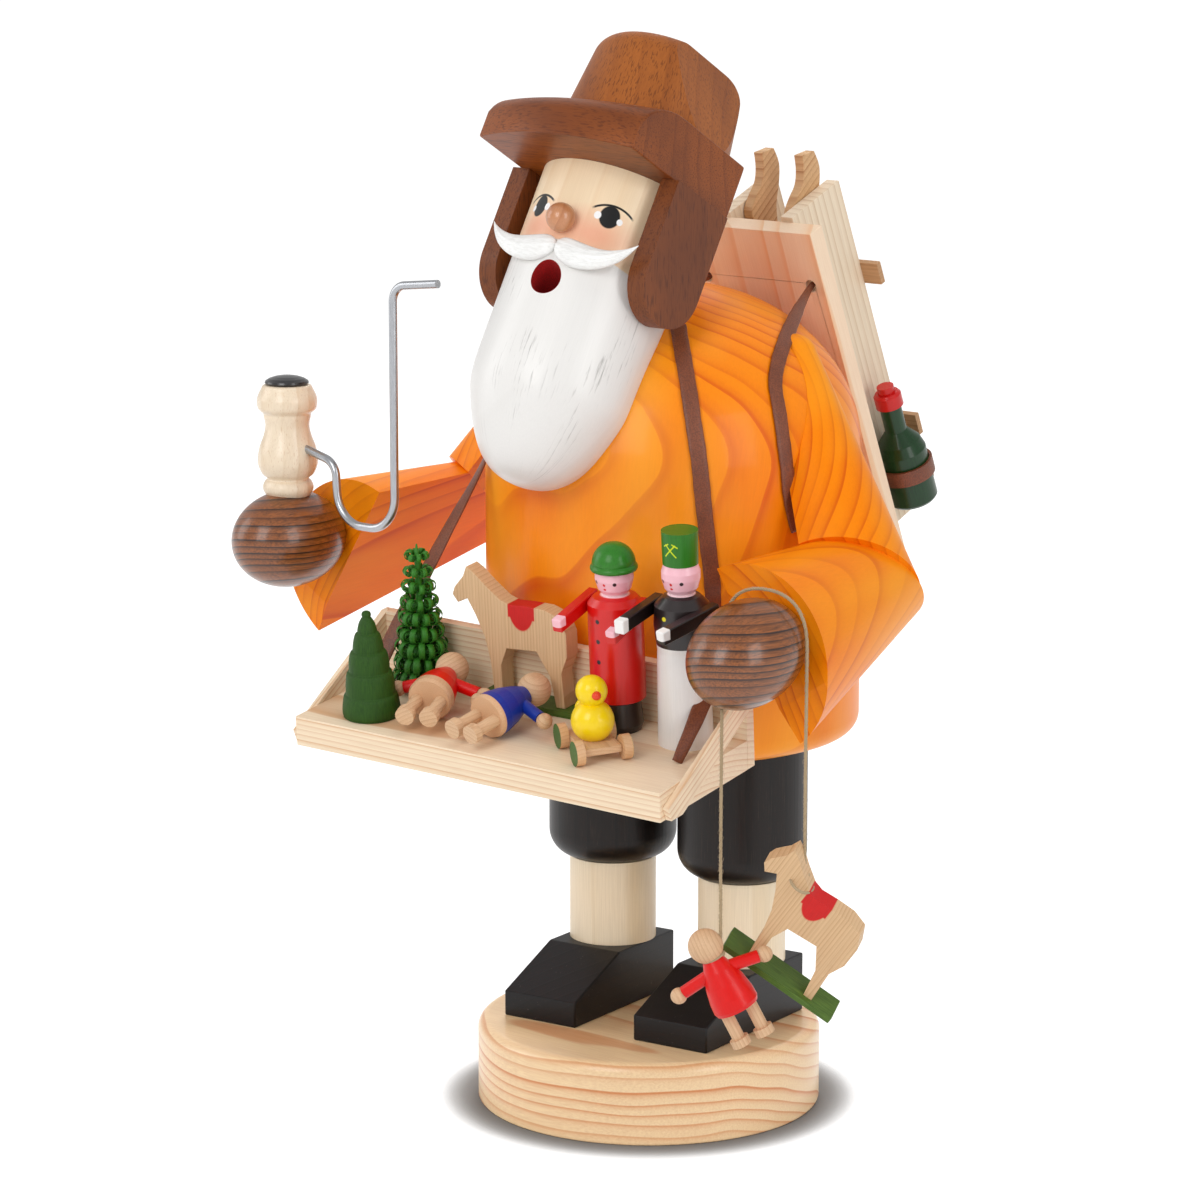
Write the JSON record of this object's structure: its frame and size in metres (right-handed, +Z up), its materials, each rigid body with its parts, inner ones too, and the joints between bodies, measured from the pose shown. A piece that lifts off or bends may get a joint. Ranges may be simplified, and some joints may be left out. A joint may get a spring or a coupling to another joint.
{
  "type": "incense smoker figure",
  "caption": "Turned wooden incense smoker shaped as a bearded toy pedlar with a tray of toys, a pipe, a back pack and toys hung on strings.",
  "frame": {"origin": "centre of the base disc's underside", "axes": "+Z up; the figure faces -Y; its own left hand is toward +X"},
  "size_m": [0.34, 0.3321, 0.4965],
  "materials": {
    "pine": "pale pine with growth rings, satin clear lacquer",
    "stained_pine": "pine stained orange, glossy clear lacquer",
    "beech_brown": "beech stained brown, satin",
    "grained_dark_wood": "brushed dark stained wood, glossy",
    "black_stained_wood": "black stained, satin",
    "dark_brown_wood": "very dark brown stained, satin",
    "pale_maple": "pale natural turned wood, satin",
    "white_painted_head": "white beard paint and pale face lacquer, satin",
    "white_paint": "white painted wood, satin",
    "nose_wood": "turned wood with a blush, satin",
    "steel_wire": "drawn steel wire",
    "dish_brass": "pressed brass sheet",
    "incense": "pressed charcoal incense, matt",
    "brown_leather": "brown leather, fine grain",
    "jute": "twisted jute twine",
    "green_paint": "green painted wood, satin",
    "curled_green": "green stained shavings",
    "red_paint": "red painted wood, glossy",
    "blue_paint": "blue painted wood, glossy",
    "yellow_paint": "yellow painted wood, glossy",
    "figure_soldier": "red coat paint, pink face, black boots, satin",
    "figure_miner": "black coat paint, pink face, white trousers, satin",
    "toy_wood": "natural fine sawn wood",
    "bottle_green": "turned wood in dark green gloss with a red top"
  },
  "bodies": {
    "stand": {"base_disc": "pine", "shoes": "black_stained_wood", "stockings": "pale_maple", "breeches": "dark_brown_wood", "seat_board": "pale_maple", "leg_dowels": "pale_maple"},
    "incense_tray": {"incense_dish": "dish_brass", "incense_cone": "incense"},
    "duck_left_wheels": {"duck_left_axle": "toy_wood"},
    "duck_right_wheels": {"duck_right_axle": "toy_wood"},
    "hanging_doll": {"doll_string": "jute", "hanging_doll_dress": "red_paint", "hanging_doll_wood": "toy_wood"},
    "hanging_horse_toy": {"horse_string": "jute", "hanging_horse": "toy_wood", "hanging_horse_stand": "green_paint"},
    "bottle_body": {"bottle": "bottle_green"},
    "sled_body": {"sled": "toy_wood"},
    "figure": {"blue_doll_body": "blue_paint", "bottle_strap": "brown_leather", "coat": "stained_pine", "curled_tree": "curled_green", "duck": "yellow_paint", "duck_cart": "toy_wood", "hat_brim": "beech_brown", "hat_crown": "beech_brown", "head": "white_painted_head", "left_ear_flap": "beech_brown", "left_forearm": "stained_pine", "left_hand": "grained_dark_wood", "left_upper_arm": "stained_pine", "lying_doll_wood": "toy_wood", "miner_arms": "black_stained_wood", "miner_figure": "figure_miner", "miner_hat": "green_paint", "moustache": "white_paint", "nose": "nose_wood", "pack_board": "pine", "pack_floor": "pine", "pack_laths": "pale_maple", "pack_sides": "pine", "pack_strap": "brown_leather", "pipe_bowl": "pale_maple", "pipe_lid": "black_stained_wood", "pipe_stem": "steel_wire", "red_doll_body": "red_paint", "right_ear_flap": "beech_brown", "right_forearm": "stained_pine", "right_hand": "grained_dark_wood", "right_upper_arm": "stained_pine", "soldier_arms": "red_paint", "soldier_figure": "figure_soldier", "soldier_hat": "green_paint", "toy_horse": "toy_wood", "toy_horse_stand": "green_paint", "tray_back": "pine", "tray_board": "pine", "tray_braces": "pine", "tray_strap": "brown_leather", "turned_tree": "green_paint"}
  },
  "joints": [
    {"name": "coat_lift", "type": "slide", "parent": "stand", "child": "figure", "axis": [0, 0, 1], "range_m": [0, 0.06]},
    {"name": "dish_lift", "type": "slide", "parent": "stand", "child": "incense_tray", "axis": [0, 0, 1], "range_m": [0, 0.03]},
    {"name": "duck_left_axle_spin", "type": "hinge", "parent": "figure", "child": "duck_left_wheels", "pos_m": [0.05109, -0.10456, 0.19978], "axis": [0.52, 0.8507, 0.0775], "range_deg": [-180, 180]},
    {"name": "duck_right_axle_spin", "type": "hinge", "parent": "figure", "child": "duck_right_wheels", "pos_m": [0.07111, -0.11654, 0.19695], "axis": [0.52, 0.8507, 0.0775], "range_deg": [-180, 180]},
    {"name": "hanging_doll_swing", "type": "hinge", "parent": "figure", "child": "hanging_doll", "pos_m": [0.1297, -0.107, 0.2216], "axis": [0, 1, 0], "range_deg": [-8, 1]},
    {"name": "hanging_horse_swing", "type": "hinge", "parent": "figure", "child": "hanging_horse_toy", "pos_m": [0.1354, -0.085, 0.24851], "axis": [0, 1, 0], "range_deg": [-1, 8]},
    {"name": "bottle_draw", "type": "slide", "parent": "figure", "child": "bottle_body", "axis": [0, -0.3907, 0.9205], "range_m": [0, 0.06]},
    {"name": "sled_draw", "type": "slide", "parent": "figure", "child": "sled_body", "axis": [0, -0.3907, 0.9205], "range_m": [0, 0.06]}
  ]
}
